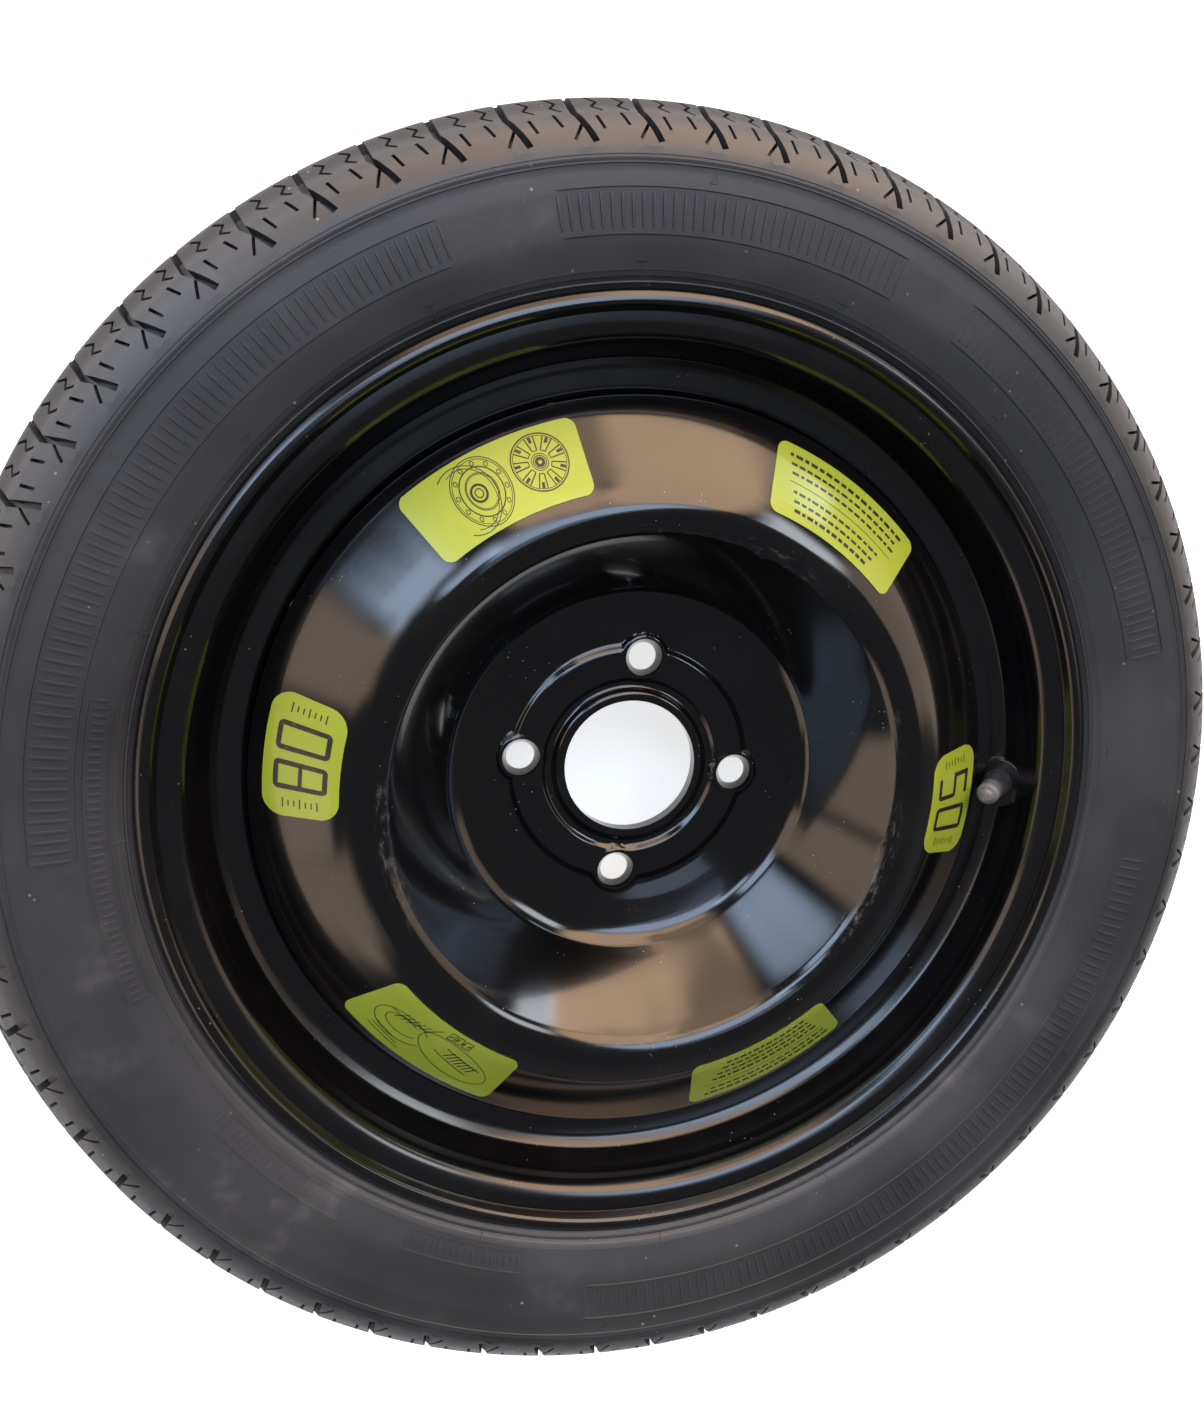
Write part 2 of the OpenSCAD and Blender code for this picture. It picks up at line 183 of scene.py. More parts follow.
def revolved(outline, columns, closed=True):
    """Vertices and faces of an outline of (radius, height from the middle plane) turned round Z."""
    angles = np.arange(columns) * 2 * math.pi / columns
    p = np.array(outline, float)
    x = p[:, :1] * np.cos(angles)
    y = p[:, :1] * np.sin(angles)
    z = np.repeat(p[:, 1:] + MID_Z, columns, axis=1)
    vertices = np.stack([x, y, z], axis=2).reshape(-1, 3)
    return vertices, ring_faces(len(p), columns, closed)


def carve(obj, cutter, operation="DIFFERENCE"):
    """Applies a boolean between two meshes and drops the second."""
    modifier = obj.modifiers.new("cut", "BOOLEAN")
    modifier.operation = operation
    modifier.solver = "EXACT"
    modifier.object = cutter
    bpy.context.view_layer.update()
    evaluated = obj.evaluated_get(bpy.context.evaluated_depsgraph_get())
    mesh = bpy.data.meshes.new_from_object(evaluated)
    obj.modifiers.remove(modifier)
    old = obj.data
    obj.data = mesh
    bpy.data.meshes.remove(old)
    bpy.data.objects.remove(cutter)


def turned(name, outline, material, body="wheel", columns=64, place=None, sharp_deg=35.0):
    """A closed outline of (radius, z) turned round its own axis, then placed by a matrix in millimetres."""
    angles = np.arange(columns) * 2 * math.pi / columns
    vertices = [(r * math.cos(a), r * math.sin(a), z) for r, z in outline for a in angles]
    faces = ring_faces(len(outline), columns, True)
    if place is not None:
        vertices = [place @ Vector(v) for v in vertices]
    obj = new_object(name, vertices, faces, material, body, sharp_deg)
    merge = bmesh.new()
    merge.from_mesh(obj.data)
    bmesh.ops.remove_doubles(merge, verts=merge.verts, dist=1e-6)
    bmesh.ops.recalc_face_normals(merge, faces=merge.faces)
    merge.to_mesh(obj.data)
    merge.free()
    return obj


# Materials

class Nodes:
    """A material's node tree with short ways to add and join nodes."""

    def __init__(self, name):
        self.material = bpy.data.materials.new(name)
        self.material.use_nodes = True
        self.tree = self.material.node_tree
        self.shader = self.tree.nodes["Principled BSDF"]
        self.where = self.add("ShaderNodeNewGeometry").outputs["Position"]

    def add(self, kind, **settings):
        node = self.tree.nodes.new(kind)
        for key, value in settings.items():
            setattr(node, key, value)
        return node

    def join(self, value, socket):
        if isinstance(value, bpy.types.NodeSocket):
            self.tree.links.new(value, socket)
        else:
            socket.default_value = value

    def math(self, operation, a, b=0.0, clamp=False):
        node = self.add("ShaderNodeMath", operation=operation, use_clamp=clamp)
        self.join(a, node.inputs[0])
        self.join(b, node.inputs[1])
        return node.outputs[0]

    def noise(self, scale, detail=4.0, roughness=0.55, vector=None, stretch=None):
        """Noise whose scale is in waves per metre."""
        vector = vector or self.where
        if stretch:
            mapping = self.add("ShaderNodeMapping")
            mapping.inputs["Scale"].default_value = stretch
            self.join(vector, mapping.inputs["Vector"])
            vector = mapping.outputs[0]
        node = self.add("ShaderNodeTexNoise")
        self.join(vector, node.inputs["Vector"])
        node.inputs["Scale"].default_value = scale
        node.inputs["Detail"].default_value = detail
        node.inputs["Roughness"].default_value = roughness
        return node.outputs["Fac"]

    def ramp(self, value, low, high, out_low=0.0, out_high=1.0):
        node = self.add("ShaderNodeMapRange", interpolation_type="SMOOTHSTEP")
        self.join(value, node.inputs["Value"])
        node.inputs["From Min"].default_value = low
        node.inputs["From Max"].default_value = high
        node.inputs["To Min"].default_value = out_low
        node.inputs["To Max"].default_value = out_high
        return node.outputs[0]

    def mix(self, share, a, b):
        node = self.add("ShaderNodeMix", data_type="RGBA")
        self.join(share, node.inputs[0])
        self.join((*a, 1) if isinstance(a, tuple) else a, node.inputs[6])
        self.join((*b, 1) if isinstance(b, tuple) else b, node.inputs[7])
        return node.outputs[2]

    def radius_and_height(self):
        """The distance from the wheel axis and the height, in metres, and the angle in radians."""
        split = self.add("ShaderNodeSeparateXYZ")
        self.join(self.where, split.inputs[0])
        x, y, z = split.outputs
        squares = self.math("ADD", self.math("MULTIPLY", x, x), self.math("MULTIPLY", y, y))
        return self.math("SQRT", squares), z, self.math("ARCTAN2", y, x)

    def band(self, value, centre, half, soft):
        """One near centre, falling to nothing past half plus soft."""
        away = self.math("ABSOLUTE", self.math("SUBTRACT", value, centre))
        return self.ramp(away, half, half + soft, 1.0, 0.0)

    def speckle(self, scale, size, vector=None):
        """Small dots: one inside a dot."""
        node = self.add("ShaderNodeTexVoronoi")
        self.join(vector or self.where, node.inputs["Vector"])
        node.inputs["Scale"].default_value = scale
        return self.ramp(node.outputs["Distance"], size, size * 0.6)

    def bump(self, height, strength, distance, normal=None):
        node = self.add("ShaderNodeBump")
        node.inputs["Strength"].default_value = strength
        node.inputs["Distance"].default_value = distance
        self.join(height, node.inputs["Height"])
        if normal is not None:
            self.join(normal, node.inputs["Normal"])
        return node.outputs[0]

    def finish(self, **sockets):
        for name, value in sockets.items():
            socket = self.shader.inputs[name.replace("_", " ")]
            if isinstance(value, tuple):
                value = (*value, 1)
            self.join(value, socket)
        return self.material


def rubber_material():
    """Sidewall and tread rubber: bloomed, lightly dusted, brown on the tread blocks."""
    m = Nodes("tyre_rubber")
    radius = m.radius_and_height()[0]
    cloudy = m.noise(9, 5)
    streaks = m.noise(40, 4, stretch=(1, 1, 0.3))
    fine = m.noise(900, 3)
    base = m.mix(m.ramp(cloudy, 0.35, 0.7), (0.022, 0.023, 0.0255), (0.038, 0.0395, 0.043))
    dust = m.math("MULTIPLY", m.ramp(streaks, 0.5, 0.75), m.ramp(cloudy, 0.4, 0.7))
    dust = m.ramp(dust, 0.0, 1.0, 0.0, 0.55)
    base = m.mix(dust, base, (0.11, 0.11, 0.11))
    tread = m.ramp(radius, 0.284, 0.299)
    brown = m.math("MULTIPLY", tread, m.ramp(m.noise(70, 5), 0.35, 0.7, 0.0, 0.4))
    base = m.mix(brown, base, (0.045, 0.04, 0.036))
    specks = m.math("MULTIPLY", m.speckle(130, 0.1), m.ramp(m.noise(25), 0.55, 0.62))
    base = m.mix(m.math("MULTIPLY", specks, 0.5), base, (0.5, 0.49, 0.46))
    rough = m.math("ADD", m.ramp(cloudy, 0.3, 0.75, 0.44, 0.56), m.math("MULTIPLY", fine, 0.06))
    normal = m.bump(fine, 0.12, 0.0004)
    normal = m.bump(m.noise(60, 3), 0.18, 0.001, normal)
    rough = m.math("ADD", rough, m.math("MULTIPLY", tread, 0.14))
    shine = m.math("SUBTRACT", 0.95, m.math("MULTIPLY", tread, 0.6))
    return m.finish(Base_Color=base, Roughness=rough, Normal=normal, Specular_IOR_Level=shine)


def paint_material(name, scuff=0.0, matt=0.0):
    """Gloss black paint with a little orange peel, dust and fine scratches."""
    m = Nodes(name)
    radius, _, angle = m.radius_and_height()
    cloud = m.noise(14, 4)
    dots = m.math("MULTIPLY", m.speckle(260, 0.11), m.ramp(m.noise(35, 3), 0.56, 0.66))
    film = m.ramp(m.noise(22, 6), 0.45, 0.8, 0.0, 0.014)
    base = m.mix(film, (0.0035, 0.0035, 0.004), (0.3, 0.28, 0.26))
    base = m.mix(m.math("MULTIPLY", dots, 0.45), base, (0.55, 0.55, 0.54))
    rough = m.ramp(cloud, 0.35, 0.75, 0.09 + matt, 0.17 + matt)
    if scuff:
        around = m.add("ShaderNodeCombineXYZ")
        m.join(m.math("MULTIPLY", radius, 260), around.inputs[0])
        m.join(m.math("MULTIPLY", angle, 9), around.inputs[1])
        scratched = m.noise(1.6, 6, 0.7, around.outputs[0])
        ring = m.band(radius, 0.1195, 0.001, 0.0035)
        worn = m.math("MULTIPLY", ring, m.ramp(scratched, 0.48, 0.72))
        worn = m.math("MULTIPLY", worn, m.ramp(m.noise(8, 2), 0.42, 0.6))
        worn = m.math("MULTIPLY", worn, scuff)
        base = m.mix(worn, base, (0.17, 0.17, 0.18))
        rough = m.math("ADD", rough, m.math("MULTIPLY", worn, 0.4))
    normal = m.bump(m.noise(320, 2), 0.02, 0.0005)
    return m.finish(
        Base_Color=base,
        Roughness=rough,
        Normal=normal,
        Specular_IOR_Level=0.6,
        Coat_Weight=0.6,
        Coat_Roughness=0.05 + matt,
    )


def weld_material():
    m = Nodes("weld_paint")
    ripple = m.noise(420, 3)
    base = m.mix(m.ramp(m.noise(60), 0.45, 0.7), (0.012, 0.012, 0.012), (0.04, 0.03, 0.025))
    return m.finish(Base_Color=base, Roughness=0.38, Normal=m.bump(ripple, 0.6, 0.0012))


def label_material():
    """Yellow-green print under clear film."""
    m = Nodes("label_film")
    base = m.mix(m.ramp(m.noise(18, 4), 0.35, 0.7), (0.4, 0.5, 0.035), (0.46, 0.56, 0.055))
    specks = m.math("MULTIPLY", m.speckle(420, 0.12), m.ramp(m.noise(60), 0.6, 0.68, 0.0, 0.35))
    base = m.mix(specks, base, (0.25, 0.25, 0.1))
    normal = m.bump(m.noise(90, 3), 0.05, 0.0006)
    return m.finish(
        Base_Color=base,
        Roughness=0.32,
        Normal=normal,
        Coat_Weight=0.7,
        Coat_Roughness=0.08,
        Specular_IOR_Level=0.5,
    )


def ink_material():
    m = Nodes("label_ink")
    base = m.mix(m.ramp(m.noise(300, 3), 0.45, 0.75), (0.012, 0.013, 0.01), (0.05, 0.05, 0.025))
    return m.finish(Base_Color=base, Roughness=0.35, Coat_Weight=0.5, Coat_Roughness=0.1)


def valve_rubber_material():
    m = Nodes("valve_rubber")
    base = m.mix(m.ramp(m.noise(90, 4), 0.4, 0.7), (0.022, 0.021, 0.024), (0.05, 0.048, 0.05))
    normal = m.bump(m.noise(700, 2), 0.1, 0.0003)
    return m.finish(Base_Color=base, Roughness=0.4, Normal=normal, Specular_IOR_Level=0.6)


def cap_material():
    m = Nodes("cap_plastic")
    base = m.mix(m.ramp(m.noise(160, 4), 0.4, 0.7), (0.13, 0.13, 0.14), (0.2, 0.2, 0.21))
    normal = m.bump(m.noise(900, 2), 0.08, 0.0002)
    return m.finish(Base_Color=base, Roughness=0.3, Normal=normal, Specular_IOR_Level=0.6)


def brass_material():
    m = Nodes("brass")
    lathe = m.noise(500, 3, stretch=(1, 1, 6))
    base = m.mix(m.ramp(lathe, 0.35, 0.7), (0.62, 0.44, 0.17), (0.75, 0.57, 0.27))
    return m.finish(Base_Color=base, Roughness=m.ramp(lathe, 0.3, 0.8, 0.22, 0.4), Metallic=1.0)


def steel_material():
    m = Nodes("spring_steel")
    lathe = m.noise(700, 3)
    base = m.mix(m.ramp(lathe, 0.35, 0.7), (0.55, 0.55, 0.57), (0.7, 0.7, 0.72))
    return m.finish(Base_Color=base, Roughness=0.25, Metallic=1.0)


def red_seal_material():
    m = Nodes("red_seal")
    base = m.mix(m.ramp(m.noise(300, 3), 0.4, 0.7), (0.45, 0.03, 0.025), (0.6, 0.06, 0.05))
    return m.finish(Base_Color=base, Roughness=0.45)


rubber = rubber_material()
rim_paint = paint_material("rim_paint", matt=0.1)
disc_paint = paint_material("disc_paint", scuff=0.7)
weld_paint = weld_material()
label_film = label_material()
label_ink = ink_material()
valve_black = valve_rubber_material()
cap_grey = cap_material()
brass = brass_material()
spring_wire = steel_material()
red_seal = red_seal_material()


def dress(node, material):
    """Gives a CAD node that stays shown its finish."""
    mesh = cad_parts[node].data
    mesh.materials.clear()
    mesh.materials.append(material)


for node, material in {
    "disc_welds": weld_paint,
    "valve_rubber": valve_black,
    "valve_tube": brass,
    "valve_core_body": brass,
    "valve_core_seal": red_seal,
    "valve_pin": brass,
    "valve_pin_seal": valve_black,
    "valve_cap_seal": valve_black,
}.items():
    dress(node, material)


# Tyre

FACE_H = FLANGE_GAP / 2
WEB_H = FACE_H + RIM_T
BEAD_GAP = 0.05
BEAD_TOE_H = FACE_H - 13
LIP_BACK = [(-3.8, -2.8), (-2, -2.3), (-0.8, -1.2), (-0.1, 0.2), (0, 1.4)]
LIP_FRONT = [(-7.6, 3.7), (-6.8, 4.7), (-5.4, 5.2), (-3.4, 4.9), (-1.3, 3.7), (-0.3, 2.3)]
FLANGE_BACK = [(SEAT_R, BEAD_TOE_H), (SEAT_R, FACE_H)] + [(FLANGE_R + r, WEB_H + h) for r, h in LIP_BACK]

TOP = SECTION_W / 2
SIDEWALL = offset_line(FLANGE_BACK, -BEAD_GAP) + [
    (FLANGE_R + 5.2, TOP - 5.5),
    (FLANGE_R + 19, TOP - 1.5),
    (MOULD_LINE_R - 12, TOP - 0.05),
    (MOULD_LINE_R - 0.9, TOP - 0.2),
    (MOULD_LINE_R - 0.5, TOP - 0.02),
    (MOULD_LINE_R, TOP - 0.02),
    (MOULD_LINE_R + 0.4, TOP - 1.0),
    (MOULD_LINE_R + 4.5, TOP - 1.6),
]
SIDEWALL_RADII = [0, 6.5, 0, 0, 0, 0, 0, 12, 30, 30, 0, 0, 0, 0, 0]
TREAD = [
    (MOULD_LINE_R + 4.5, TOP - 1.6),
    (MOULD_LINE_R + 4.9, TOP - 2.2),
    (MOULD_LINE_R + 5.5, TOP - 1.9),
    (TYRE_R - 24, TOP - 5),
    (TYRE_R - 16.3, TOP - 11.5),
    (TYRE_R - 12.5, SHOULDER_H),
    (TYRE_R - 5.2, SHOULDER_H - 12),
    (TYRE_R - 1.2, SHOULDER_H - 24),
    (TYRE_R, 0),
]
TREAD_RADII = [0, 0, 0, 15, 16, 14, 16, 60, 0]
CAVITY = [
    (SEAT_R + 5, BEAD_TOE_H + 1.8),
    (FLANGE_R - 4, FACE_H - 7),
    (FLANGE_R + 8, TOP - SIDEWALL_T - 3),
    (MOULD_LINE_R - 14, TOP - SIDEWALL_T),
    (MOULD_LINE_R + 8, TOP - SIDEWALL_T - 3),
    (TYRE_R - 22, SHOULDER_H - 6),
    (TYRE_R - 14, SHOULDER_H - 22),
    (TYRE_R - 12, 0),
]
CAVITY_RADII = [0, 12, 20, 25, 20, 20, 30, 0]
COLUMNS_PER_PITCH = 6
PITCH_W = 30.0


def tread_line():
    """The tread's outline from shoulder to shoulder, the distance along it and its outward normals."""
    half = rounded(TREAD, TREAD_RADII, 5)
    line = np.array(half + mirrored(half)[1:])
    along = np.concatenate([[0], np.cumsum(np.linalg.norm(np.diff(line, axis=0), axis=1))])
    direction = np.gradient(line, along, axis=0)
    direction /= np.linalg.norm(direction, axis=1)[:, None]
    return line, along, np.stack([-direction[:, 1], direction[:, 0]], axis=1)


def strip(points, width):
    """Convex pieces that cover a line of the given width."""
    pieces = []
    for a, b in zip(points, points[1:]):
        a, b = np.array(a, float), np.array(b, float)
        u = (b - a) / np.linalg.norm(b - a)
        n = np.array([-u[1], u[0]]) * width / 2
        a, b = a - u * width * 0.2, b + u * width * 0.2
        pieces.append([a - n, b - n, b + n, a + n])
    return pieces


def inside(piece, q):
    return all(
        (b[0] - a[0]) * (q[1] - a[1]) - (b[1] - a[1]) * (q[0] - a[0]) > 0
        for a, b in zip(piece, piece[1:] + piece[:1])
    )


def cut_in(flat, piece):
    """Cuts the flat mesh along a convex piece's edges, near the piece only."""
    low = np.min(piece, axis=0) - 0.01
    high = np.max(piece, axis=0) + 0.01
    for a, b in zip(piece, piece[1:] + piece[:1]):
        near = []
        for f in flat.faces:
            co = [v.co for v in f.verts]
            if min(c.x for c in co) < high[0] and max(c.x for c in co) > low[0]:
                if min(c.y for c in co) < high[1] and max(c.y for c in co) > low[1]:
                    near.append(f)
        edges = list({e for f in near for e in f.edges})
        geometry = near + edges + list({v for f in near for v in f.verts})
        normal = (b[1] - a[1], a[0] - b[0], 0)
        bmesh.ops.bisect_plane(flat, geom=geometry, dist=1e-5, plane_co=(*a, 0), plane_no=normal)


def tread_pieces(length):
    """The flat pattern of one pitch, as convex pieces: wide grooves and thin slits. x is round, y across."""
    foot_y, kink_y, main_h = 3.0, 20.0, 17.0
    main_w, groove_w, slit_w, sipe_w = 6.0, 3.2, 1.5, 1.5
    kink_x = 15.0
    middle = length / 2
    rib_y = middle - main_h
    wide, thin = [], []
    for y in (rib_y, length - rib_y):
        near, far = y - main_w / 2, y + main_w / 2
        corners = ((-1.0, near), (PITCH_W + 1, near), (PITCH_W + 1, far), (-1.0, far))
        wide.append([np.array(c) for c in corners])

    def both(points, width, into):
        """The line on this shoulder, and turned half a pitch on for the far shoulder."""
        into += strip(points, width)
        far = [((x + PITCH_W / 2) % PITCH_W, length - y) for x, y in points]
        if max(x for x, y in far) - min(x for x, y in far) > PITCH_W / 2:
            far = [(x if x > PITCH_W / 2 else x + PITCH_W, y) for x, y in far]
        for shift in (0, -PITCH_W):
            moved = [(x + shift, y) for x, y in far]
            if max(x for x, y in moved) > 0 and min(x for x, y in moved) < PITCH_W:
                into += strip(moved, width)

    foot_x = kink_x - 6.4
    both([(foot_x, foot_y), (kink_x, kink_y), (kink_x - 1.5, rib_y)], groove_w, wide)
    both([(kink_x - 2.4, kink_y - 7.0), (kink_x + 2.6, foot_y + 1.0)], slit_w, thin)
    both([(foot_x - 5.0, foot_y + 6.0), (foot_x - 3.0, foot_y + 14.0)], slit_w, thin)
    both([(kink_x + 7.0, foot_y + 8.0), (kink_x + 9.5, foot_y + 16.0)], slit_w, thin)
    for x in (kink_x + 8.6, kink_x - 9.6):
        bends = ((-3.6, 3.0), (0, 9.0), (-3.0, 14.5), (0.4, 21))
        zigzag = [(x + dx, kink_y + dy) for dx, dy in bends]
        both(zigzag, sipe_w, thin)
    for x in (4.0, 19.0):
        strip_line = [(x, middle - 11), (x + 3, middle - 3), (x, middle + 3), (x + 3, middle + 11)]
        thin += strip(strip_line, sipe_w)
    return wide, thin


def sink(flat, pieces, depth):
    """Pushes the faces inside the pieces down by depth, with upright walls."""
    chosen = []
    for f in flat.faces:
        c = f.calc_center_median()
        if abs(c.z) < 1e-6 and abs(f.normal.z) > 0.5 and any(inside(p, (c.x, c.y)) for p in pieces):
            chosen.append(f)
    out = bmesh.ops.extrude_face_region(flat, geom=chosen)
    for v in out["geom"]:
        if isinstance(v, bmesh.types.BMVert):
            v.co.z -= depth
    left = [f for f in chosen if f.is_valid]
    bmesh.ops.delete(flat, geom=left, context="FACES")


def flat_pitch(length):
    """One pitch of the tread as a flat mesh: x round the tyre, y across it, z the depth."""
    rows = int(length / 3.4)
    flat = bmesh.new()
    round_x = [PITCH_W * i / COLUMNS_PER_PITCH for i in range(COLUMNS_PER_PITCH + 1)]
    grid = [[flat.verts.new((x, length * j / rows, 0)) for x in round_x] for j in range(rows + 1)]
    for j in range(rows):
        for i in range(COLUMNS_PER_PITCH):
            flat.faces.new((grid[j][i], grid[j][i + 1], grid[j + 1][i + 1], grid[j + 1][i]))
    wide, thin = tread_pieces(length)
    for piece in wide + thin:
        cut_in(flat, piece)
    flat.normal_update()
    sink(flat, wide, 5.0)
    flat.normal_update()
    sink(flat, thin, 3.0)
    ends = [
        f for f in flat.faces
        if all(v.co.x < 1e-4 for v in f.verts) or all(v.co.x > PITCH_W - 1e-4 for v in f.verts)
    ]
    bmesh.ops.delete(flat, geom=ends, context="FACES")
    flat.verts.index_update()
    vertices = np.array([tuple(v.co) for v in flat.verts])
    faces = [tuple(v.index for v in f.verts) for f in flat.faces]
    flat.free()
    return vertices, faces


def make_tyre():
    line, along, normals = tread_line()
    flat, flat_faces = flat_pitch(along[-1])
    r = np.interp(flat[:, 1], along, line[:, 0])
    h = np.interp(flat[:, 1], along, line[:, 1])
    nr = np.interp(flat[:, 1], along, normals[:, 0])
    nh = np.interp(flat[:, 1], along, normals[:, 1])
    out = 1 if nr.mean() > 0 else -1
    r = r + out * nr * flat[:, 2]
    h = h + out * nh * flat[:, 2]
    vertices, faces = [], []
    for k in range(TREAD_PITCHES):
        a = (k + flat[:, 0] / PITCH_W) * 2 * math.pi / TREAD_PITCHES
        start = k * len(flat)
        vertices.append(np.stack([r * np.cos(a), r * np.sin(a), h + MID_Z], axis=1))
        faces += [tuple(start + i for i in f) for f in flat_faces]
    side = spaced(rounded(SIDEWALL, SIDEWALL_RADII, 6), 6)
    cavity = rounded(CAVITY, CAVITY_RADII, 15)
    inner = cavity + mirrored(cavity)[1:]
    rest = list(reversed(side)) + inner + mirrored(list(reversed(side)))
    columns = TREAD_PITCHES * COLUMNS_PER_PITCH
    more, more_faces = revolved(rest, columns, closed=False)
    start = sum(len(v) for v in vertices)
    faces += [tuple(start + i for i in f) for f in more_faces]
    vertices.append(more)
    obj = new_object("tyre_dressed", np.concatenate(vertices), faces, rubber, sharp_deg=40)
    mesh = bmesh.new()
    mesh.from_mesh(obj.data)
    bmesh.ops.remove_doubles(mesh, verts=mesh.verts, dist=2e-6)
    bmesh.ops.recalc_face_normals(mesh, faces=mesh.faces)
    mesh.to_mesh(obj.data)
    mesh.free()
    obj.data.set_sharp_from_angle(angle=math.radians(40))
    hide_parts("tyre")
    return obj


make_tyre()

SIDE_LINE = np.array([
    p for p in rounded(SIDEWALL, SIDEWALL_RADII, 6) if p[0] > FLANGE_R + 0.5 and p[1] > SHOULDER_H
])


def sidewall_point(r, degrees, lift, side):
    """A point at a radius and angle, lifted off the sidewall. Side is 1 outboard and -1 inboard."""
    h = float(np.interp(r, SIDE_LINE[:, 0], SIDE_LINE[:, 1])) + lift
    a = math.radians(degrees)
    return (r * math.cos(a), r * math.sin(a), MID_Z + side * h)


def add_rib(store, line, width, height, side):
    """A low rib with sloped flanks along points of (radius, degrees) on the sidewall."""
    vertices, faces = store
    fine = []
    for (r0, a0), (r1, a1) in zip(line, line[1:]):
        length = math.hypot(r1 - r0, math.radians(a1 - a0) * r0)
        n = max(1, math.ceil(length / 4))
        fine += [(r0 + (r1 - r0) * k / n, a0 + (a1 - a0) * k / n) for k in range(n)]
    fine.append(line[-1])
    start = len(vertices)
    for i, (r, a) in enumerate(fine):
        (rb, ab), (ra, aa) = fine[max(i - 1, 0)], fine[min(i + 1, len(fine) - 1)]
        along = np.array([ra - rb, math.radians(aa - ab) * r])
        along /= np.linalg.norm(along)
        for across, lift in ((-0.5, -0.3), (-0.28, height), (0.28, height), (0.5, -0.3)):
            dr, dt = -along[1] * width * across, along[0] * width * across
            end = 0.3 if i in (0, len(fine) - 1) else 0.0
            vertices.append(sidewall_point(r + dr, a + math.degrees(dt / r), lift - end, side))
    for i in range(len(fine) - 1):
        for j in range(3):
            a = start + 4 * i + j
            faces.append((a, a + 1, a + 5, a + 4))
    last = start + 4 * (len(fine) - 1)
    faces.append((start, start + 3, start + 2, start + 1))
    faces.append((last, last + 1, last + 2, last + 3))


# Serrated bands in place of lettering: radius from and to, degrees from and to, rib spacing in degrees
SERRATED = [
    (243.5, 257.5, 118.0, 190.0, 1.0),
    (243.5, 257.5, 72.0, 107.0, 1.0),
    (243.5, 257.5, 20.0, 64.0, 1.0),
    (246.0, 258.0, 270.0, 356.0, 1.0),
    (231.5, 236.5, 174.0, 206.0, 0.8),
    (231.5, 236.5, 222.0, 240.0, 0.8),
    (231.5, 236.5, 248.0, 262.0, 0.8),
]


def make_marks():
    """Raised marks on both sidewalls: serrated bands, vent nibs and wear marks."""
    store = ([], [])
    for side in (1, -1):
        for r0, r1, from_deg, to_deg, gap in SERRATED:
            count = int((to_deg - from_deg) / gap)
            for k in range(count + 1):
                a = side * (from_deg + k * gap)
                add_rib(store, [(r0, a), (r1, a)], 1.6, 0.6, side)
            for r in (r0 - 2.2, r1 + 2.2):
                n = int((to_deg - from_deg) / 2)
                arc = [(r, side * (from_deg + (to_deg - from_deg) * k / n)) for k in range(n + 1)]
                add_rib(store, arc, 1.0, 0.5, side)
        for k in range(16):
            a = 22.5 * k + 9
            add_rib(store, [(223.5, a), (231.0, a)], 0.9, 0.45, side)
            add_rib(store, [(231.0, a - 0.7), (231.0, a + 0.7)], 0.9, 0.45, side)
        for r, height in ((223.0, 0.3), (225.2, 0.3), (227.6, 0.25), (268.9, 0.45), (272.6, 0.3)):
            add_rib(store, [(r, 3.0 * k) for k in range(121)], 1.1, height, side)
        for k in range(6):
            a = 60 * k + 32
            add_rib(store, [(262.5, a), (262.5, a + 0.8), (266.0, a + 0.4), (262.7, a)], 0.6, 0.3, side)
    flat_on_floor = [(x, y, max(z, 0.0)) for x, y, z in store[0]]
    return new_object("tyre_marks", flat_on_floor, store[1], rubber, sharp_deg=50)


make_marks()


# Rim

SEAT_IN_R = SEAT_R - RIM_T
SHEET = [
    (FLANGE_R - 9.2, -WEB_H),
    (SEAT_IN_R, -WEB_H),
    (SEAT_IN_R, -38),
    (WELL_R, -12),
    (WELL_R, SHELF_H),
    (WELL_R + 12.3, SHELF_H),
    (WELL_R + 16.6, SHELF_H + 3.2),
    (SEAT_IN_R, 38),
    (SEAT_IN_R, WEB_H),
    (FLANGE_R - 9.2, WEB_H),
]
SHEET_RADII = [0, 8, 14, 12, 4.5, 4, 5, 12, 8, 0]
BACK_RADII = [0, 5.2, 11.2, 14.8, 1.7, 6.8, 7.8, 9.2, 5.2, 0]


def valve_place():
    """Places things drawn along the valve's axis, in millimetres."""
    seat = Matrix.Translation((VALVE_SEAT[0], 0, MID_Z + VALVE_SEAT[1]))
    return (
        Matrix.Rotation(math.radians(VALVE_AZ), 4, "Z")
        @ seat
        @ Matrix.Rotation(math.radians(-VALVE_LEAN), 4, "Y")
    )


def smooth_lip(side):
    """The rolled edge, from the front to the back, rounded."""
    points = [(FLANGE_R + r, side * (WEB_H + h)) for r, h in LIP_FRONT + LIP_BACK[::-1]]
    ends = [(FLANGE_R - 9.2, side * WEB_H)] + points + [(FLANGE_R - 6, side * FACE_H)]
    radii = [0, 0.8, 0.9, 1.0, 1.6, 0.8, 0.6, 1.0, 1.2, 1.2, 2.0, 0]
    return rounded(ends, radii, 12)[1:-1]


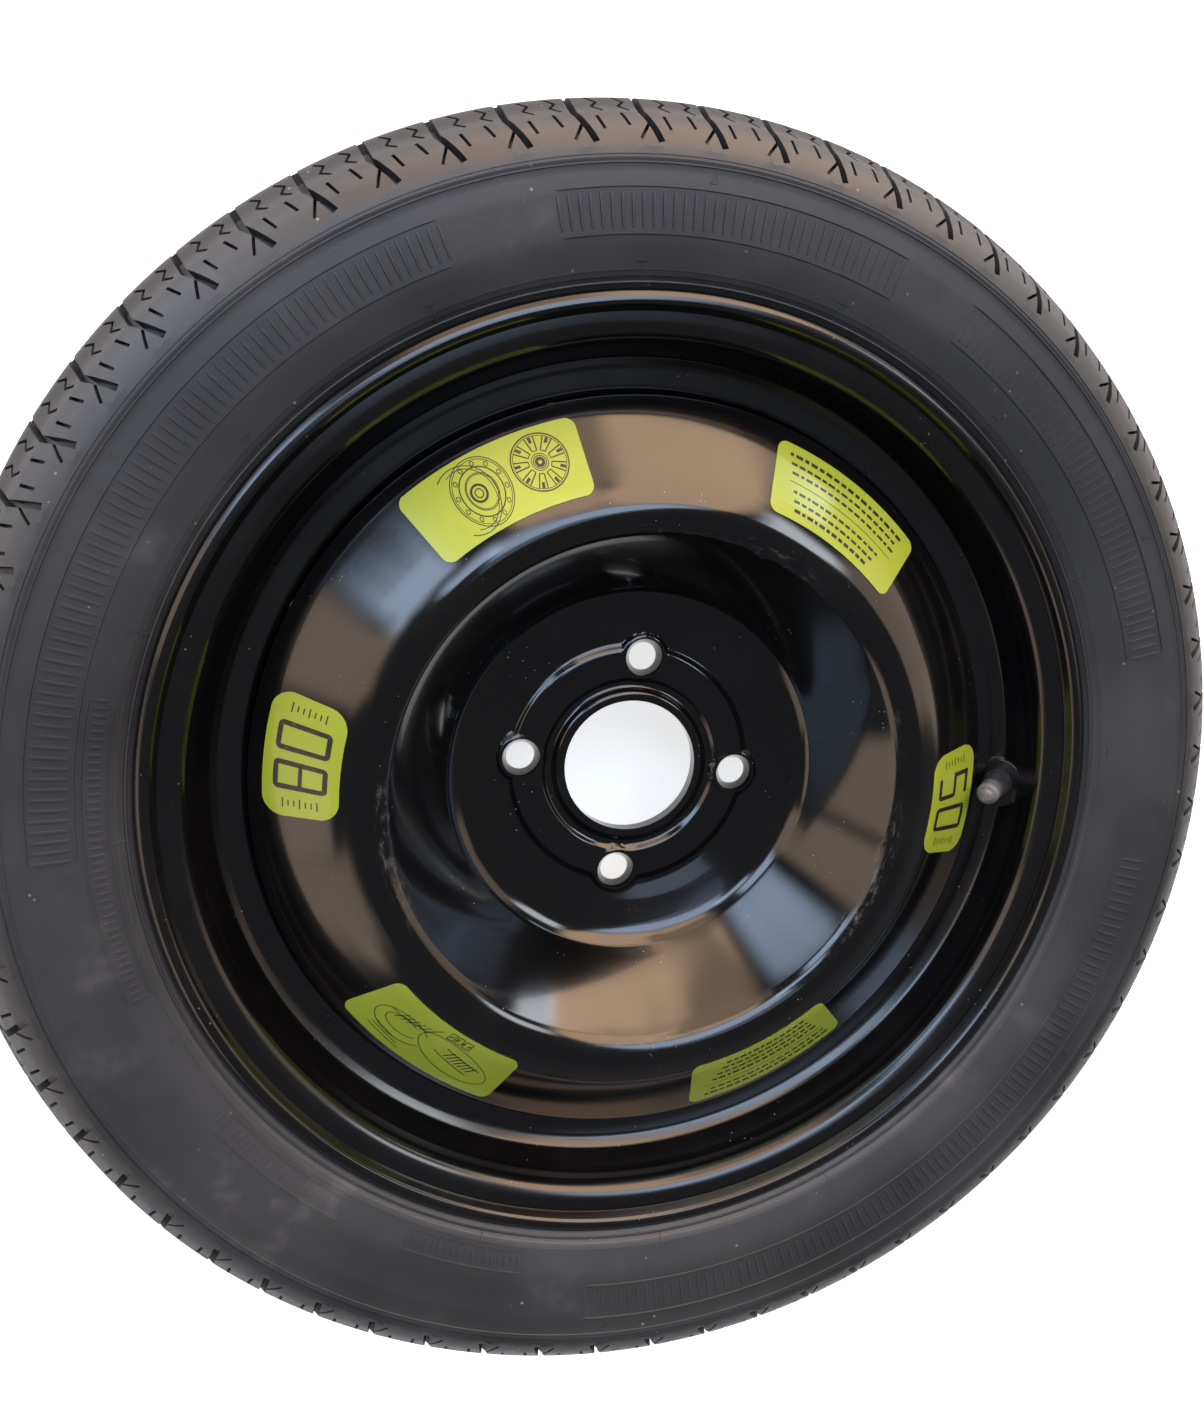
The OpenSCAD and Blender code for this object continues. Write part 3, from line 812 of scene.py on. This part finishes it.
def make_rim():
    front = rounded(SHEET, SHEET_RADII, 6)
    back = rounded(offset_line(SHEET, -RIM_T), BACK_RADII, 9)
    outline = front + smooth_lip(1) + back[::-1] + smooth_lip(-1)[::-1]
    vertices, faces = revolved(spaced(outline, 9), 256)
    obj = new_object("rim_dressed", vertices, faces, rim_paint)
    place = valve_place()
    boss_r, boss_top, boss_low = 12.5, 1.0, -4.0
    bevel = 0.6
    boss_outline = [
        (0.01, boss_low),
        (boss_r, boss_low),
        (boss_r, boss_top - bevel),
        (boss_r - bevel, boss_top),
        (0.01, boss_top),
    ]
    carve(obj, turned("boss", boss_outline, rim_paint, place=place), "UNION")
    spot_r, back_spot_r, spot_cut = 7.8, 9.7, 3.0
    hole = [
        (0.01, boss_low - spot_cut),
        (back_spot_r, boss_low - spot_cut),
        (back_spot_r, boss_low),
        (5.75, boss_low),
        (5.75, boss_top),
        (spot_r, boss_top),
        (spot_r, boss_top + 2 * spot_cut),
        (0.01, boss_top + 2 * spot_cut),
    ]
    carve(obj, turned("hole", hole, rim_paint, place=place))
    obj.data.shade_smooth()
    obj.data.set_sharp_from_angle(angle=math.radians(32))
    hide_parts("rim")
    return obj


make_rim()


# Disc

HUB_H = HUB_Z - MID_Z
CROWN_H = CROWN_Z - MID_Z
DISH_R = 70.0
FINE_R = 74.0
DISC_LINE = [
    (WELL_R - 0.05, -5),
    (WELL_R - 0.05, 32.6),
    (LABEL_IN_R, 60),
    (122, CROWN_H - 0.08),
    (HUB_R, HUB_H + 6.6),
    (DISH_R, HUB_H + 2.4),
    (DISH_R - 8, HUB_H),
    (BORE_R - 1, HUB_H),
]
DISC_RADII = [0, 13, 60, 12, 17, 8, 8, 0]
DISC_BACK = offset_line(DISC_LINE[:5] + [(DISH_R, HUB_H), (60, HUB_H)], DISC_T)
DISC_BACK_RADII = [0, 9.6, 56.6, 8.6, 15.4, 15.4, 0]


def smooth(x, a, b):
    t = np.clip((x - a) / (b - a), 0, 1)
    return t * t * (3 - 2 * t)


def hub_relief(r, angle):
    """Height of the pressed shapes on the hub face at a radius and angle."""
    plate_h, lip_h, pad_h = 2.2, 3.0, 2.6
    plate = plate_h * smooth(r, 61.2, 56.4) * smooth(r, 41.2, 44.6)
    lip = lip_h * smooth(r, 39.8, 35.6)
    quarter = np.pi / 2
    away = (angle + quarter / 2) % quarter - quarter / 2
    gap = np.hypot(r * np.cos(away) - BOLT_CIRCLE_R, r * np.sin(away))
    pad = pad_h * smooth(gap, 13.4, 10.2)
    return np.maximum(np.maximum(plate, pad), lip)


def disc_front():
    """The visible line of the disc, from the rim to the bore, with close steps on the hub."""
    line = rounded(DISC_LINE, DISC_RADII, 4)
    outer = [p for p in line if p[0] > FINE_R]
    near = [p for p in reversed(line) if p[0] < HUB_R + 5]
    radii = np.linspace(FINE_R, BORE_R, 54)
    heights = np.interp(radii, [p[0] for p in near], [p[1] for p in near])
    return spaced(outer, 6) + list(zip(radii, heights))


def make_disc():
    front = np.array(disc_front())
    back = rounded(DISC_BACK, DISC_BACK_RADII, 8)
    back = spaced([q for q in back if q[0] > 60.5] + [(BORE_R, HUB_H - DISC_T)], 12)
    outline = [tuple(q) for q in front] + back[::-1]
    columns = 320
    vertices, faces = revolved(outline, columns)
    grid = vertices.reshape(len(outline), columns, 3)
    angles = np.arange(columns) * 2 * math.pi / columns
    for i, (r, _) in enumerate(front):
        if r <= FINE_R:
            pressed = HUB_Z + hub_relief(np.full(columns, r), angles)
            grid[i, :, 2] = np.maximum(grid[i, :, 2], pressed)
    obj = new_object("disc_dressed", grid.reshape(-1, 3), faces, disc_paint)
    seat_r = 9.2
    for k in range(4):
        a = math.radians(90 * k)
        at = Matrix.Translation((BOLT_CIRCLE_R * math.cos(a), BOLT_CIRCLE_R * math.sin(a), HUB_Z))
        taper = [(BOLT_HOLE_R, -1.2), (seat_r, 2.61)]
        cutter = [(0.01, -20), (BOLT_HOLE_R, -20)] + taper + [(seat_r, 20), (0.01, 20)]
        carve(obj, turned(f"bolt_cut_{k}", cutter, disc_paint, place=at, columns=48))
    obj.data.shade_smooth()
    obj.data.set_sharp_from_angle(angle=math.radians(30))
    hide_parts("disc")
    return obj


make_disc()


# Spring of the valve core

SPRING_FOOT = 5.5
SPRING_TOP = 14.05
COIL_R = 0.95
WIRE_R = 0.18
COILS = 6


def make_spring():
    """A coil of round wire with closed ends."""
    place = valve_place()
    steps, sides = 24 * COILS, 8
    low, high = SPRING_FOOT + WIRE_R, SPRING_TOP - WIRE_R
    vertices, faces = [], []
    for i in range(steps + 1):
        turn = 2 * math.pi * COILS * i / steps
        rise = low + (high - low) * float(smooth(i / steps, 0.0, 1.0) * 0.35 + i / steps * 0.65)
        for k in range(sides):
            a = 2 * math.pi * k / sides
            r = COIL_R + WIRE_R * math.cos(a)
            spot = Vector((r * math.cos(turn), r * math.sin(turn), rise + WIRE_R * math.sin(a)))
            vertices.append(place @ spot)
    for i in range(steps):
        for k in range(sides):
            n = (k + 1) % sides
            faces.append((i * sides + k, (i + 1) * sides + k, (i + 1) * sides + n, i * sides + n))
    faces.append(tuple(range(sides)))
    faces.append(tuple(steps * sides + k for k in reversed(range(sides))))
    obj = new_object("spring_coil", vertices, faces, spring_wire, "wheel", 50)
    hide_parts("valve_spring")
    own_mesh(obj)


make_spring()


# Labels

SLOPE = rounded(DISC_LINE, DISC_RADII, 4)
SLOPE = [p for p in SLOPE if 130 < p[0] < 176]
SLOPE_R = np.array([p[0] for p in SLOPE])[::-1]
SLOPE_H = np.array([p[1] for p in SLOPE])[::-1]


def on_label(x, r, azimuth, lift):
    """A point on the disc's slope, at radius r: x millimetres round from the label's middle line."""
    mean_r = (LABEL_IN_R + LABEL_OUT_R) / 2
    h = np.interp(r, SLOPE_R, SLOPE_H)
    slope = (np.interp(r + 1, SLOPE_R, SLOPE_H) - np.interp(r - 1, SLOPE_R, SLOPE_H)) / 2
    n = math.hypot(1, slope)
    r2 = r - slope / n * lift
    h2 = h + lift / n
    a = math.radians(azimuth) + x / mean_r
    return (r2 * math.cos(a), r2 * math.sin(a), h2 + MID_Z)


def ink_line(points, width, azimuth, store, lift=LABEL_LIFT + 0.05, closed=False):
    """A flat line of ink along points (x, r) of a label."""
    pts = [np.array(p, float) for p in points]
    if closed:
        pts.append(pts[0])
    fine = []
    for a, b in zip(pts, pts[1:]):
        n = max(1, int(math.ceil(np.linalg.norm(b - a) / 2.5)))
        fine += [a + (b - a) * k / n for k in range(n)]
    fine.append(pts[-1])
    vertices, faces = store
    start = len(vertices)
    count = len(fine)
    for i, p in enumerate(fine):
        before = fine[i - 1] if i > 0 else (fine[-2] if closed else p)
        after = fine[i + 1] if i < count - 1 else (fine[1] if closed else p)
        u1 = p - before
        u2 = after - p
        u1 = u1 / np.linalg.norm(u1) if np.linalg.norm(u1) > 0 else u2 / np.linalg.norm(u2)
        u2 = u2 / np.linalg.norm(u2) if np.linalg.norm(u2) > 0 else u1
        n = np.array([-(u1 + u2)[1], (u1 + u2)[0]])
        n /= np.linalg.norm(n)
        reach = width / 2 / max(0.5, float(n @ np.array([-u1[1], u1[0]])))
        vertices.append(on_label(*(p - n * reach), azimuth, lift))
        vertices.append(on_label(*(p + n * reach), azimuth, lift))
    for i in range(count - 1):
        a = start + 2 * i
        faces.append((a, a + 1, a + 3, a + 2))


def rounded_box(cx, cy, w, h, radius, steps=4):
    """Corner points of a box with round corners, counter-clockwise."""
    out = []
    for qx, qy, a0 in ((1, 1, 0), (-1, 1, 90), (-1, -1, 180), (1, -1, 270)):
        for k in range(steps + 1):
            a = math.radians(a0 + 90 * k / steps)
            out.append((
                cx + qx * (w / 2 - radius) + radius * math.cos(a),
                cy + qy * (h / 2 - radius) + radius * math.sin(a),
            ))
    return out


def circle(cx, cy, rx, ry=None, steps=32):
    ry = rx if ry is None else ry
    angles = [2 * math.pi * k / steps for k in range(steps)]
    return [(cx + rx * math.cos(a), cy + ry * math.sin(a)) for a in angles]


def make_print(name, azimuth, draw):
    store = ([], [])

    def line(points, width=0.45, closed=False):
        ink_line(points, width, azimuth, store, closed=closed)

    draw(line)
    obj = new_object(name, store[0], store[1], label_ink, sharp_deg=60)
    return obj


MEAN_R = (LABEL_IN_R + LABEL_OUT_R) / 2
DIGIT_H = 23.5
DIGIT_W = 12.4
DIGIT_X = 8.2
PEN = 2.2


def digit(line, shape, cx):
    """A plain numeral that reads clockwise round the wheel. Its top is toward the rim and its right at -x."""
    w, h = (DIGIT_W - PEN) / 2, (DIGIT_H - PEN) / 2
    y = MEAN_R
    if shape in "08":
        line(rounded_box(cx, y, 2 * w, 2 * h, 1.3), PEN, True)
    if shape == "8":
        line([(cx - w, y), (cx + w, y)], PEN * 0.8)
    if shape == "5":
        head = [(cx - w, y + h), (cx + w, y + h), (cx + w, y + 1.2)]
        bowl = [(cx - w + 0.8, y + 1.2), (cx - w, y + 0.4), (cx - w, y - h + 0.8), (cx - w + 0.8, y - h)]
        line(head + bowl + [(cx + w, y - h)], PEN)


def speed_label(first, second):
    """Two digits, with a small scale of ticks above and below them."""
    def draw(line):
        digit(line, first, DIGIT_X)
        digit(line, second, -DIGIT_X)
        for x in (20.2, -20.2):
            for k in range(7):
                half = 2.1 if k % 3 == 0 else 1.3
                line([(x - half, MEAN_R - 7.5 + 2.5 * k), (x + half, MEAN_R - 7.5 + 2.5 * k)], 0.55)
    return draw


def wheel_drawings(line):
    """A pressed steel wheel seen from one side, and a spoked wheel seen from the front."""
    y = MEAN_R
    line(circle(14.5, y - 0.5, 13.0, 14.8)[5:28], 0.4)
    line(circle(13.5, y - 0.5, 11.0, 13.0)[6:27], 0.35)
    rings = ((12.8, 14.8, 0.4), (12.0, 13.8, 0.3), (9.2, 10.6, 0.55), (6.8, 8.0, 0.35), (6.3, 7.4, 0.3))
    for rx, ry, pen in rings:
        line(circle(7.6, y, rx, ry), pen, True)
    line(circle(9.2, y, 3.3, 3.6), 1.0, True)
    line(circle(9.2, y, 1.7, 1.9), 0.5, True)
    for k in range(12):
        a = math.radians(30 * k + 10)
        line(circle(7.6 + 10.6 * math.cos(a), y + 12.2 * math.sin(a), 0.75, 1.1, 8), 0.35, True)
    for rx, pen in ((12.2, 0.6), (11.3, 0.3), (3.6, 0.35), (2.7, 0.45), (1.5, 1.3)):
        line(circle(-20.0, y + 1.5, rx), pen, True)
    for k in range(9):
        a = math.radians(40 * k + 6)
        edges = []
        for side in (-1, 1):
            inner = (-20.0 + 5.0 * math.cos(a + side * 0.2), y + 1.5 + 5.0 * math.sin(a + side * 0.2))
            outer = (-20.0 + 11.2 * math.cos(a + side * 0.17), y + 1.5 + 11.2 * math.sin(a + side * 0.17))
            edges.append((inner, outer))
            line([inner, outer], 0.55)
        line([edges[0][0], edges[1][0]], 0.4)
        line([(-20.0 + r * math.cos(a), y + 1.5 + r * math.sin(a)) for r in (8.5, 11.0)], 1.3)


def fitting_drawing(line):
    """A tyre lying on its side, a jack of strips, a box and a coil of lines: plain shapes only."""
    y = MEAN_R
    tilted = [(x * 0.97 - q * 0.24 + 12, x * 0.24 + q * 0.97 + y + 1) for x, q in circle(0, 0, 21, 9)]
    line(tilted, 0.4, True)
    for k in range(7):
        line([(25 - 2.3 * k, y - 1 - 0.5 * k), (21.5 - 2.3 * k, y + 4 - 0.5 * k)], 0.7)
    line([(27, y + 0.5), (6, y - 4.5)], 0.5)
    line([(23, y + 6), (2, y + 0.5)], 0.5)
    for x0, w in ((11.5, 4.0), (6.5, 3.4), (2.2, 3.2)):
        line(rounded_box(x0, y - 12.2, w, 4.6, 0.4, 2), 0.5, True)
    for k in range(4):
        line([(13.0 - 3.4 * k, y - 13.0), (11.6 - 3.4 * k, y - 11.2)], 0.7)
    for k in range(6):
        line([(-5 - 3.0 * k, y - 9.5 + 0.5 * k), (-8.5 - 3.0 * k, y - 5.0 + 0.8 * k)], 0.5)
    line([(-3, y - 12), (-8, y - 6), (-27, y - 3.4)], 0.45)
    line(circle(-17, y + 1.5, 14.5, 8)[2:30], 0.4)
    line(circle(-17, y + 0.5, 9.5, 4.6)[2:28], 0.4)
    for k in range(3):
        line([(-8 - 2.5 * k, y + 13.4 - 2.0 * k), (-27 + 0.8 * k, y + 11.8 - 2.0 * k)], 0.45)


def notice_lines(seed):
    """Rows of short bars in place of small print."""
    def draw(line):
        for row in range(7):
            r = LABEL_OUT_R - 5.0 - 4.0 * row
            if row == 3 - seed:
                line([(-34 + row, r), (34 - row, r)], 0.3)
                continue
            x = 33.0 - 1.2 * row
            k = 0
            while x > -32 + 2.0 * row:
                w = 1.6 + 1.9 * abs(math.sin(1.7 * k + 2.3 * row + seed))
                line([(x, r), (x - w, r)], 1.25 if row % 3 else 1.6)
                x -= w + 1.1
                k += 1
    return draw


LABELS = {
    "label_80": (179.0, 9.7, speed_label("8", "0")),
    "label_50": (1.1, 9.7, speed_label("5", "0")),
    "label_wheels": (123.0, 14.6, wheel_drawings),
    "label_fitting": (236.4, 14.6, fitting_drawing),
    "label_notice": (61.0, 14.6, notice_lines(0)),
    "label_warning": (300.5, 14.6, notice_lines(1)),
}
for label, (azimuth, half_a, draw) in LABELS.items():
    dress(label, label_film)
    make_print(label + "_print", azimuth, draw)


# Valve cap

def make_cap():
    """The cap, with fine grip ribs round its skirt."""
    base_z, skirt_r, rib_count, rib_depth = 18.2, 5.3, 30, 0.22
    corners = [(3.97, 0), (skirt_r, 0), (skirt_r, 8.2), (4.9, 9.1), (4.1, 9.5)]
    corners += [(3.9, 12), (3.2, 13.9), (0.4, 14.6), (0.05, 14.6)]
    outline = rounded(corners, [0, 0.4, 0.5, 0.3, 0.3, 0.8, 2.0, 0, 0], 12) + [(0.05, 12.4), (3.97, 12.4)]
    columns = rib_count * 6
    vertices = []
    for r, z in outline:
        for k in range(columns):
            a = 2 * math.pi * k / columns
            on_skirt = float(smooth(r, 4.8, 5.2) * smooth(z, 0.5, 1.2) * smooth(z, 8.2, 7.4))
            rr = r - rib_depth * on_skirt * (0.5 - 0.5 * math.cos(rib_count * a))
            vertices.append((rr * math.cos(a), rr * math.sin(a), base_z + z))
    place = valve_place()
    vertices = [place @ Vector(v) for v in vertices]
    faces = ring_faces(len(outline), columns, True)
    obj = new_object("valve_cap_dressed", vertices, faces, cap_grey, "cap", 40)
    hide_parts("valve_cap")
    return obj


make_cap()


# Floor, light and camera

def make_floor():
    mesh = bpy.data.meshes.new("floor")
    s, z = 6.0, -0.0005
    mesh.from_pydata([(-s, -s, z), (s, -s, z), (s, s, z), (-s, s, z)], [], [(0, 1, 2, 3)])
    m = Nodes("pale_floor")
    base = m.mix(m.noise(3, 3), (0.86, 0.86, 0.86), (0.9, 0.9, 0.9))
    glow = (1.0, 1.0, 1.0)
    mesh.materials.append(
        m.finish(Base_Color=base, Roughness=0.8, Emission_Color=glow, Emission_Strength=0.75)
    )
    floor = bpy.data.objects.new("floor", mesh)
    bpy.context.scene.collection.objects.link(floor)


SKY = (0.58, 0.74, 1.0)
SUNLIT = (1.0, 0.68, 0.44)
PALE = (0.86, 0.93, 1.0)
WARM = (1.0, 0.78, 0.6)
SOFT_LIGHTS = [
    (92, 36, 53, 73, 8, SKY, 4.8),
    (85, 44, 73, 95, 10, SKY, 1.1),
    (135, 12, 50, 62, 7, SKY, 5.4),
    (40, 9, 29, 45, 7, PALE, 5.8),
    (49, 6, -60, 13, 5, PALE, 5.8),
    (73, 18, 14, 51, 7, SUNLIT, 4.4),
    (105, 14, 37, 51, 8, SUNLIT, 3.8),
    (106, 15, 13, 37, 9, SUNLIT, 1.9),
    (89, 34, -60, 12, 6, SUNLIT, 5.4),
    (142, 13, -60, 16, 11, SKY, 4.4),
    (150, 12, 27, 46, 7, SKY, 5.2),
    (173, 11, -60, 46, 8, WARM, 1.4),
    (200, 15, -60, 22, 8, WARM, 1.3),
    (15, 17, -2, 33, 8, WARM, 0.9),
    (29, 10, -60, 2, 6, WARM, 1.2),
    (228, 12, 8, 34, 8, WARM, 1.1),
]
AMBIENT = (0.1, 0.1, 0.105)
WOBBLE_DEG = 7.0


def make_world():
    world = bpy.data.worlds.new("studio")
    bpy.context.scene.world = world
    world.use_nodes = True
    tree = world.node_tree
    tree.nodes.clear()

    def add(kind, **settings):
        node = tree.nodes.new(kind)
        for key, value in settings.items():
            setattr(node, key, value)
        return node

    def calc(operation, a, b=0.0, clamp=False):
        node = add("ShaderNodeMath", operation=operation, use_clamp=clamp)
        for value, socket in ((a, node.inputs[0]), (b, node.inputs[1])):
            if isinstance(value, bpy.types.NodeSocket):
                tree.links.new(value, socket)
            else:
                socket.default_value = value
        return node.outputs[0]

    def ramp(value, low, high, out_low, out_high):
        node = add("ShaderNodeMapRange", interpolation_type="SMOOTHSTEP")
        tree.links.new(value, node.inputs["Value"])
        ends = {"From Min": low, "From Max": high, "To Min": out_low, "To Max": out_high}
        for key, number in ends.items():
            node.inputs[key].default_value = number
        return node.outputs[0]

    direction = add("ShaderNodeTexCoord").outputs["Generated"]
    split = add("ShaderNodeSeparateXYZ")
    tree.links.new(direction, split.inputs[0])
    x, y, z = split.outputs
    ripple = add("ShaderNodeTexNoise")
    tree.links.new(direction, ripple.inputs["Vector"])
    ripple.inputs["Scale"].default_value = 2.4
    ripple.inputs["Detail"].default_value = 2
    wobble = calc("MULTIPLY", calc("SUBTRACT", ripple.outputs["Fac"], 0.5), 2 * WOBBLE_DEG)
    flat = calc("MAXIMUM", calc("SQRT", calc("ADD", calc("MULTIPLY", x, x), calc("MULTIPLY", y, y))), 1e-4)
    elevation = calc("ADD", calc("MULTIPLY", calc("ARCTAN2", z, flat), 180 / math.pi), wobble)
    total = None
    for azimuth, half, low, high, soft, colour, strength in SOFT_LIGHTS:
        a = math.radians(azimuth)
        toward = calc("ADD", calc("MULTIPLY", x, math.cos(a)), calc("MULTIPLY", y, math.sin(a)))
        cosine = calc("MINIMUM", calc("MAXIMUM", calc("DIVIDE", toward, flat), -1.0), 1.0)
        away = calc("ADD", calc("MULTIPLY", calc("ARCCOSINE", cosine), 180 / math.pi), wobble)
        mask = calc("MULTIPLY", ramp(away, half - soft / 2, half + soft / 2, 1, 0), strength)
        mask = calc("MULTIPLY", mask, ramp(elevation, low - soft / 2, low + soft / 2, 0, 1))
        if high < 90:
            mask = calc("MULTIPLY", mask, ramp(elevation, high - soft / 2, high + soft / 2, 1, 0))
        tint = add("ShaderNodeVectorMath", operation="SCALE")
        tint.inputs[0].default_value = colour
        tree.links.new(mask, tint.inputs["Scale"])
        if total is None:
            total = tint.outputs[0]
        else:
            both = add("ShaderNodeVectorMath", operation="ADD")
            tree.links.new(total, both.inputs[0])
            tree.links.new(tint.outputs[0], both.inputs[1])
            total = both.outputs[0]
    base = add("ShaderNodeVectorMath", operation="ADD")
    base.inputs[1].default_value = AMBIENT
    tree.links.new(total, base.inputs[0])
    background = add("ShaderNodeBackground")
    tree.links.new(base.outputs[0], background.inputs["Color"])
    output = add("ShaderNodeOutputWorld")
    tree.links.new(background.outputs[0], output.inputs[0])


def make_camera():
    data = bpy.data.cameras.new("camera")
    data.sensor_fit = "HORIZONTAL"
    data.sensor_width = 36
    data.lens = FOCAL_PX * 36 / PHOTO_W
    data.shift_x = (PHOTO_W / 2 - CENTRE_PX[0]) / PHOTO_W
    data.shift_y = (CENTRE_PX[1] - PHOTO_H / 2) / PHOTO_W
    data.clip_start = 0.05
    data.clip_end = 50
    camera = bpy.data.objects.new("camera", data)
    camera.location = Vector(CAMERA_AT) * MM
    camera.rotation_euler = [math.radians(a) for a in CAMERA_TURN]
    bpy.context.scene.collection.objects.link(camera)
    bpy.context.scene.camera = camera


make_floor()
make_world()
make_camera()
bpy.context.scene.view_settings.view_transform = "Standard"
bpy.context.scene.view_settings.look = "None"
